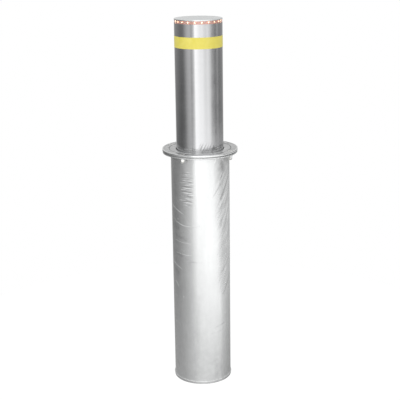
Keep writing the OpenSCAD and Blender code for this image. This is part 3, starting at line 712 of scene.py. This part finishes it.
def edged_ring(node, width):
    """A CAD ring's shape with its sharp edges broken, so that they catch the light."""
    shape = merged_copy(node)
    bmesh.ops.dissolve_limit(shape, angle_limit=radians(0.4), verts=shape.verts, edges=shape.edges)
    sharp = [
        edge for edge in shape.edges if len(edge.link_faces) == 2 and edge.calc_face_angle() > radians(40)
    ]
    bmesh.ops.bevel(
        shape, geom=sharp, offset=width, segments=2, profile=0.5, affect="EDGES", clamp_overlap=True
    )
    piece = finished_piece(f"edged_{node}", "casing", slots[node], shape)
    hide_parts(node)


def evened_cap():
    """The cap with its round edge remade from even rings, so that light runs round it in a clean line."""
    shape = merged_copy("head_cap")
    near = 0.05 * MM
    flat_r = COLUMN_R - CAP_ROUND
    uneven = [
        corner for corner in shape.verts
        if corner.co.xy.length > flat_r + near and corner.co.z > CAP_BOTTOM + near
    ]
    bmesh.ops.delete(shape, geom=uneven, context="VERTS")
    flat_edge = [corner for corner in shape.verts if corner.is_boundary and corner.co.z > HEAD_TOP - near]
    flat_edge.sort(key=lambda corner: atan2(corner.co.y, corner.co.x))
    rings = 10
    turns = [pi / 2 * ring / rings for ring in range(1, rings + 1)]
    round_z = HEAD_TOP - CAP_ROUND
    profile = [(flat_r + CAP_ROUND * sin(turn), round_z + CAP_ROUND * cos(turn)) for turn in turns]
    profile.append((COLUMN_R, CAP_BOTTOM + 0.6 * MM))
    above = flat_edge
    for reach, height in profile:
        below = [shape.verts.new((*(corner.co.xy.normalized() * reach), height)) for corner in flat_edge]
        for i in range(len(above)):
            shape.faces.new((above[i - 1], above[i], below[i], below[i - 1]))
        above = below
    bmesh.ops.bridge_loops(shape, edges=[edge for edge in shape.edges if edge.is_boundary])
    piece = finished_piece("evened_head_cap", "column", slots["head_cap"], shape)
    hair = 0.01 * MM
    for edge in piece.data.edges:
        ends = [piece.data.vertices[end].co for end in edge.vertices]
        if all(end.z > HEAD_TOP - hair and end.xy.length > flat_r - hair for end in ends):
            edge.use_edge_sharp = True
    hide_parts("head_cap")


# Runs, ripples and drops of zinc

# Section of a run: across and up, in shares of its half width and its lift
RUN_SECTION = [
    (-1.0, -0.35), (-0.62, 0.45), (-0.2, 0.95), (0.2, 0.95), (0.62, 0.45), (1.0, -0.35), (0.0, -0.9)
]
RUNS = [
    # path in degrees and mm, half width, lift
    ([(-80, -256), (-73, -262), (-54, -276), (-42, -287), (-36, -292)], 1.7, 0.8),
    ([(-66, -322), (-59, -332), (-43, -343), (-31, -347), (-20, -348), (-11, -346), (-2, -341)], 2.0, 0.9),
    ([(-70, -424), (-46, -429), (-32, -430), (-21, -431), (-12, -429)], 1.5, 0.5),
    ([(-66, -485), (-46, -487), (-32, -489), (-18, -488), (-8, -485)], 1.7, 0.7),
    ([(-44, -523), (-23, -519), (-9, -518), (2, -519)], 2.4, 0.35),
    ([(-80, -536), (-69, -544), (-53, -554), (-42, -563)], 1.7, 0.8),
    ([(-66, -634), (-60, -642), (-53, -654)], 1.8, 0.8),
    ([(-20, -634), (-12, -636), (-4, -633)], 2.0, 0.4),
    ([(-84, -700), (-70, -706), (-58, -708)], 1.5, 0.4),
    ([(-62, -842), (-50, -847), (-40, -846)], 1.5, 0.4),
    ([(10, -873), (22, -878), (35, -876), (48, -866), (58, -850)], 1.8, 0.5),
    ([(-60, -1000), (-50, -1008), (-42, -1006)], 1.8, 0.4),
    ([(64, -520), (56, -560), (50, -604)], 1.5, 0.5),
    ([(74, -640), (64, -690), (58, -712)], 1.5, 0.5),
    ([(104, -190), (124, -214), (146, -226), (170, -228)], 1.9, 0.8),
    ([(112, -420), (132, -436), (158, -440), (182, -434)], 1.7, 0.6),
    ([(-104, -300), (-122, -322), (-146, -334)], 1.8, 0.7),
    ([(-118, -520), (-136, -536), (-160, -544), (-184, -542)], 1.8, 0.7),
    ([(150, -700), (168, -712), (190, -714)], 1.6, 0.5),
    ([(-112, -820), (-130, -832), (-152, -834)], 1.6, 0.5),
    ([(108, -880), (128, -892), (150, -892)], 1.6, 0.5)
]
RIPPLES = [
    # first and last degrees, mm, half width, lift
    (-30, -20, -90, 3.2, 1.0), (-33, -17, -100, 3.8, 1.4), (-28, -15, -109, 3.0, 0.9),
    (-38, -15, -118, 4.0, 1.5), (-38, -28, -129, 3.0, 0.9), (-27, -16, -130, 3.2, 1.0),
    (-43, -23, -139, 3.8, 1.4), (-26, -13, -142, 3.6, 1.3), (-35, -18, -151, 3.0, 0.8),
    (-38, -14, -163, 4.0, 1.5), (-42, -30, -173, 3.0, 0.9), (-28, -16, -175, 2.8, 0.8),
    (-39, -17, -186, 4.0, 1.5), (-25, -11, -197, 3.4, 1.2), (-42, -26, -203, 3.2, 0.9),
    (-32, -13, -212, 3.0, 0.9), (-45, -28, -223, 3.6, 1.4), (-30, -13, -225, 3.6, 1.3),
    (-37, -18, -236, 3.6, 1.3), (-38, -26, -247, 2.8, 0.9)
]
DROPS = [
    # degrees, mm, half width
    (56, -497, 3.8), (55, -643, 3.8), (53, -795, 3.6), (61, -399, 3.0), (-24, -253, 3.4), (60, -78, 3.6),
    (-52, -318, 1.6), (-66, -842, 2.2), (74, -388, 2.0), (70, -470, 1.8), (62, -560, 1.8), (-40, -700, 1.8),
    (140, -340, 2.4), (-150, -260, 2.2), (172, -520, 2.4), (-100, -780, 2.2), (-128, -410, 2.0),
    (118, -640, 2.2), (-170, -900, 2.0)
]


def on_casing(turn, height, lift):
    """A point off the casing's wall: degrees round from the front, height and lift in mm."""
    reach = CASING_R + lift * MM
    return Vector((reach * sin(radians(turn)), -reach * cos(radians(turn)), height * MM))


def curved_through(points, steps=6):
    """A Catmull-Rom curve through the points, with several steps from each one to the next."""
    padded = [points[0] * 2 - points[1], *points, points[-1] * 2 - points[-2]]
    line = []
    for a, b, c, d in zip(padded, padded[1:], padded[2:], padded[3:]):
        square, cube = 2 * a - 5 * b + 4 * c - d, 3 * b - a - 3 * c + d
        for step in range(steps):
            t = step / steps
            line.append(0.5 * ((2 * b) + (c - a) * t + square * t * t + cube * t * t * t))
    return [*line, points[-1]]


def zinc_run(shape, path, half_width, lift):
    """A raised run of zinc along a path of (degrees, mm) places, swelling from nothing at both ends."""
    line = curved_through([Vector((radians(turn) * CASING_R / MM, height, 0)) for turn, height in path])
    last = len(line) - 1
    loops = []
    for index, spot in enumerate(line):
        ahead = line[min(index + 1, last)] - line[max(index - 1, 0)]
        side = Vector((-ahead.y, ahead.x, 0)).normalized()
        swell = max(0.12, sin(pi * index / last) ** 0.5)
        loop = []
        for across, up in RUN_SECTION:
            at = spot + side * (across * half_width * swell)
            turn = at.x * MM / CASING_R * 180 / pi
            loop.append(shape.verts.new(on_casing(turn, at.y, up * lift * (swell if up > 0 else 1.0))))
        loops.append(loop)
    count = len(RUN_SECTION)
    for first, second in zip(loops, loops[1:]):
        for i in range(count):
            shape.faces.new((first[i], first[(i + 1) % count], second[(i + 1) % count], second[i]))
    shape.faces.new(loops[0])
    shape.faces.new(loops[-1])


def zinc_marks():
    """Runs and drops that draining zinc left, and ripples under the flange at the left."""
    shape = bmesh.new()
    draw = random.Random(11)
    for path, half_width, lift in RUNS:
        zinc_run(shape, path, half_width, lift)
    parts = 5
    for first, last, height, half_width, lift in RIPPLES:
        turns = [first + (last - first) * i / parts for i in range(parts + 1)]
        slope, sag = draw.uniform(-0.10, 0.22), draw.uniform(-1.2, 2.6)
        path = [
            (turn, height + slope * (turn - first) - sag * sin(pi * i / parts) + draw.uniform(-0.7, 0.7))
            for i, turn in enumerate(turns)
        ]
        zinc_run(shape, path, half_width, lift)
    for turn, height, half_width in DROPS:
        tail = draw.uniform(2.5, 6.0)
        path = [(turn - 0.6, height + 1.8), (turn, height), (turn + 0.2, height - tail)]
        zinc_run(shape, path, half_width, half_width * 0.6)
    finished_piece("zinc_marks", "casing", "galvanised", shape)


# The pieces

edged_ring("cover_ring", 1.0 * MM)
edged_ring("collar_ring", 0.8 * MM)
edged_ring("casing_flange", 0.8 * MM)
evened_cap()
zinc_marks()

lamps = grow(
    "lamp_ring", "column", "lamp",
    {
        "Count": LAMPS, "Ring radius": 101.2 * MM, "Height": LAMP_Z, "First angle": pi / LAMPS - pi / 2,
        "Foot radius": 3.4 * MM, "Foot thickness": 0.7 * MM,
        "Lamp radius": 2.7 * MM, "Barrel length": 1.4 * MM
    },
    lamp_ring
)
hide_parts("leds")

upper_bead = grow(
    "upper_weld_bead", "casing", "galvanised",
    {
        "Steps": 1400, "Steps per pass": 9.0,
        "Ring radius": CASING_R + 1.8 * MM, "Height": FLANGE_UNDER - 1.8 * MM, "Bead radius": 4.3 * MM,
        "Pulse depth": 0.07, "Drift scale": 30.0, "Drift depth": 0.3
    },
    weld_bead
)
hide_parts("flange_weld")
lower_bead = grow(
    "lower_weld_bead", "casing", "galvanised",
    {
        "Steps": 1200, "Steps per pass": 11.0,
        "Ring radius": CASING_R + 0.4 * MM, "Height": BASE_TOP + 1.6 * MM, "Bead radius": 2.7 * MM,
        "Pulse depth": 0.09, "Drift scale": 42.0, "Drift depth": 0.8
    },
    weld_bead
)
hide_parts("base_weld")

coil_low, coil_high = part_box("coil_cable")
coil_x = (coil_low[0] + coil_high[0]) / 2
coil_y = (coil_low[1] + coil_high[1]) / 2
coil_length = coil_high[2] - coil_low[2]
coil = grow(
    "coiled_lamp_cable", "column", "black_rubber",
    {
        "Steps per turn": 22, "Turns": coil_length / COIL_PITCH, "Coil radius": COIL_R - CABLE_R,
        "Length": coil_length, "Cable radius": CABLE_R, "X": coil_x, "Y": coil_y, "Bottom": coil_low[2]
    },
    cable_coil
)
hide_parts("coil_cable")
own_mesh(coil)


# Studio

CAMERA_AT = (0, -4.4125, 1.0095)
CAMERA_PITCH = 0.2789
CAMERA_ROLL = -0.0142
CAMERA_LENS = 87.487
CAMERA_SHIFT = -0.0018
FLOOR_R = 1.6
FLOOR_SIDES = 96
WHITE = (1, 1, 1, 1)
WALLS = (0.45, 0.45, 0.45, 1)

# What metal mirrors: the sine of a ray's rise, then degrees round from the front and the light there
MIRRORED = [
    # Upward slopes and round edges
    (0.42, [
        (-180, 0.80), (-130, 0.80), (-100, 0.95), (-60, 1.15), (-20, 1.45), (20, 1.6), (60, 1.5),
        (100, 1.2), (130, 0.85), (180, 0.80)
    ]),
    # What the rings' tops see by way of the column
    (0.22, [
        (-180, 0.72), (-150, 0.66), (-125, 0.50), (-100, 0.32), (-82, 0.32), (-66, 0.52), (-50, 0.66),
        (-32, 0.62), (-24, 0.90), (-17, 1.60), (0, 1.40), (20, 1.20), (42, 1.05), (58, 0.80), (76, 0.42),
        (98, 0.40), (125, 0.50), (150, 0.62), (180, 0.72)
    ]),
    # The column's head
    (-0.08, [
        (-180, 0.75), (-159, 0.38), (-119, 0.30), (-95, 0.25), (-80, 0.27), (-68, 0.52), (-56, 0.70),
        (-44, 0.78), (-36, 0.58), (-30, 0.74), (-24, 0.95), (-18, 1.66), (-8, 1.55), (0, 1.34), (8, 1.20),
        (16, 1.26), (28, 0.98), (34, 0.96), (40, 1.10), (52, 0.92), (64, 0.62), (76, 0.44), (88, 0.34),
        (98, 0.56), (112, 0.36), (150, 0.40), (180, 0.75)
    ]),
    # The column's foot
    (-0.20, [
        (-180, 0.70), (-150, 0.25), (-119, 0.17), (-95, 0.08), (-80, 0.08), (-69, 0.15), (-57, 0.40),
        (-43, 0.48), (-34, 0.26), (-24, 0.60), (-17, 1.55), (0, 1.42), (14, 1.34), (28, 1.16), (34, 1.02),
        (43, 1.12), (54, 0.88), (62, 0.36), (70, 0.16), (84, 0.05), (98, 0.20), (110, 0.08), (124, 0.14),
        (150, 0.30), (180, 0.70)
    ]),
    # The casing's top
    (-0.28, [
        (-180, 0.60), (-150, 0.20), (-122, 0.10), (-102, 0.17), (-85, 0.31), (-70, 0.38), (-57, 0.58),
        (-46, 0.68), (-36, 1.0), (-26, 1.50), (-8, 1.65), (25, 1.60), (50, 1.55), (76, 1.50), (86, 1.18),
        (97, 1.10), (120, 1.10), (150, 0.60), (180, 0.60)
    ]),
    # The casing's middle
    (-0.35, [
        (-180, 0.55), (-145, 0.26), (-116, 0.20), (-96, 0.24), (-79, 0.34), (-64, 0.44), (-50, 0.56),
        (-37, 0.74), (-20, 1.0), (0, 1.32), (20, 1.60), (40, 1.70), (76, 1.70), (87, 1.15), (98, 0.86),
        (118, 0.60), (150, 0.50), (180, 0.55)
    ]),
    # The casing's foot
    (-0.45, [
        (-180, 0.50), (-145, 0.36), (-116, 0.38), (-90, 0.38), (-67, 0.40), (-48, 0.45), (-30, 0.50),
        (-12, 0.52), (10, 0.52), (35, 0.43), (55, 0.37), (78, 0.35), (98, 0.37), (118, 0.32), (150, 0.28),
        (180, 0.50)
    ]),
]
BRIGHTEST = 1.7


def photo_camera():
    """A camera at the photo's own viewpoint."""
    camera = bpy.data.objects.new("camera", bpy.data.cameras.new("camera"))
    bpy.context.scene.collection.objects.link(camera)
    camera.matrix_world = (
        Matrix.Translation(CAMERA_AT) @ Matrix.Rotation(pi / 2 - CAMERA_PITCH, 4, "X")
        @ Matrix.Rotation(CAMERA_ROLL, 4, "Z")
    )
    camera.data.sensor_width = 36.0
    camera.data.lens = CAMERA_LENS
    camera.data.shift_x = CAMERA_SHIFT
    bpy.context.scene.camera = camera


def ray_kinds(tree):
    """One for a ray that the eye sees straight or through glass, and one for a mirrored ray."""
    rays = tree.nodes.new("ShaderNodeLightPath").outputs
    straight, through_glass, mirrored = (
        Pattern(tree, rays[kind]) for kind in ("Is Camera Ray", "Is Transmission Ray", "Is Glossy Ray")
    )
    return larger(straight, through_glass), mirrored


def mirrored_room(tree):
    """The bands of light and grey round the bollard, each held at its rise and blended into the next."""
    x, y, rise = xyz(add(tree, "ShaderNodeTexCoord", output="Generated"))
    round_about = span(around_z(x, y), -180, 180, 0, 1, smooth=False)
    room, above = None, None
    for band_rise, stops in MIRRORED:
        band = ramp(round_about, *[((turn + 180) / 360, tone / BRIGHTEST) for turn, tone in stops])
        if room:
            band = blend(span(rise, band_rise, above, 1.0, 0.0, smooth=False), room, band)
        room, above = band, band_rise
    return room * BRIGHTEST


def studio_world():
    """White to the eye. Metal mirrors a screen between grey flags, and plain walls light the rest."""
    world = bpy.data.worlds.new("studio")
    bpy.context.scene.world = world
    world.use_nodes = True
    tree = world.node_tree
    tree.nodes.clear()
    room = mirrored_room(tree)
    seen, mirrored = ray_kinds(tree)
    colour = blend(mirrored, WALLS, room)
    colour = blend(seen, colour, WHITE)
    sky = add(tree, "ShaderNodeBackground", inputs={"Color": colour})
    result = tree.nodes.new("ShaderNodeOutputWorld")
    fill(tree, result.inputs[0], sky)


def softbox(name, at, size, watts):
    """A round soft lamp that points at the bollard and is not mirrored in it."""
    lamp = bpy.data.objects.new(name, bpy.data.lights.new(name, "AREA"))
    bpy.context.scene.collection.objects.link(lamp)
    lamp.data.shape = "DISK"
    lamp.data.size = size
    lamp.data.energy = watts
    lamp.location = at
    lamp.visible_glossy = False
    lamp.rotation_euler = (Vector((0, 0, -0.3)) - Vector(at)).to_track_quat("-Z", "Y").to_euler()


def pale_floor():
    """A round of pale floor that keeps the soft shadow."""
    mesh = bpy.data.meshes.new("floor")
    turns = [2 * pi * i / FLOOR_SIDES for i in range(FLOOR_SIDES)]
    rim = [(FLOOR_R * cos(turn), FLOOR_R * sin(turn), BASE_UNDER) for turn in turns]
    mesh.from_pydata(rim, [], [list(range(FLOOR_SIDES))])
    floor = bpy.data.objects.new("floor", mesh)
    bpy.context.scene.collection.objects.link(floor)
    coat = Finish("pale_floor", Base_Color=(0.5, 0.5, 0.5, 1), Roughness=0.9)
    seen, mirrored = ray_kinds(coat.tree)
    white_share, white_strength = 0.86, 1.14
    white = add(coat.tree, "ShaderNodeEmission", inputs={"Color": WHITE, "Strength": white_strength})
    shaded = Pattern(coat.tree, coat.shader.outputs[0])
    both = add(coat.tree, "ShaderNodeMixShader", inputs={0: seen * white_share, 1: shaded, 2: white})
    clear = add(coat.tree, "ShaderNodeBsdfTransparent")
    both = add(coat.tree, "ShaderNodeMixShader", inputs={0: mirrored, 1: both, 2: clear})
    fill(coat.tree, coat.tree.nodes["Material Output"].inputs[0], both)
    mesh.materials.append(coat.paint)


photo_camera()
studio_world()
softbox("key", (1.6, -2.9, 1.5), 2.0, 62.0)
softbox("fill", (-2.4, -2.4, 1.2), 2.2, 60.0)
pale_floor()
bpy.context.scene.view_settings.view_transform = "Standard"
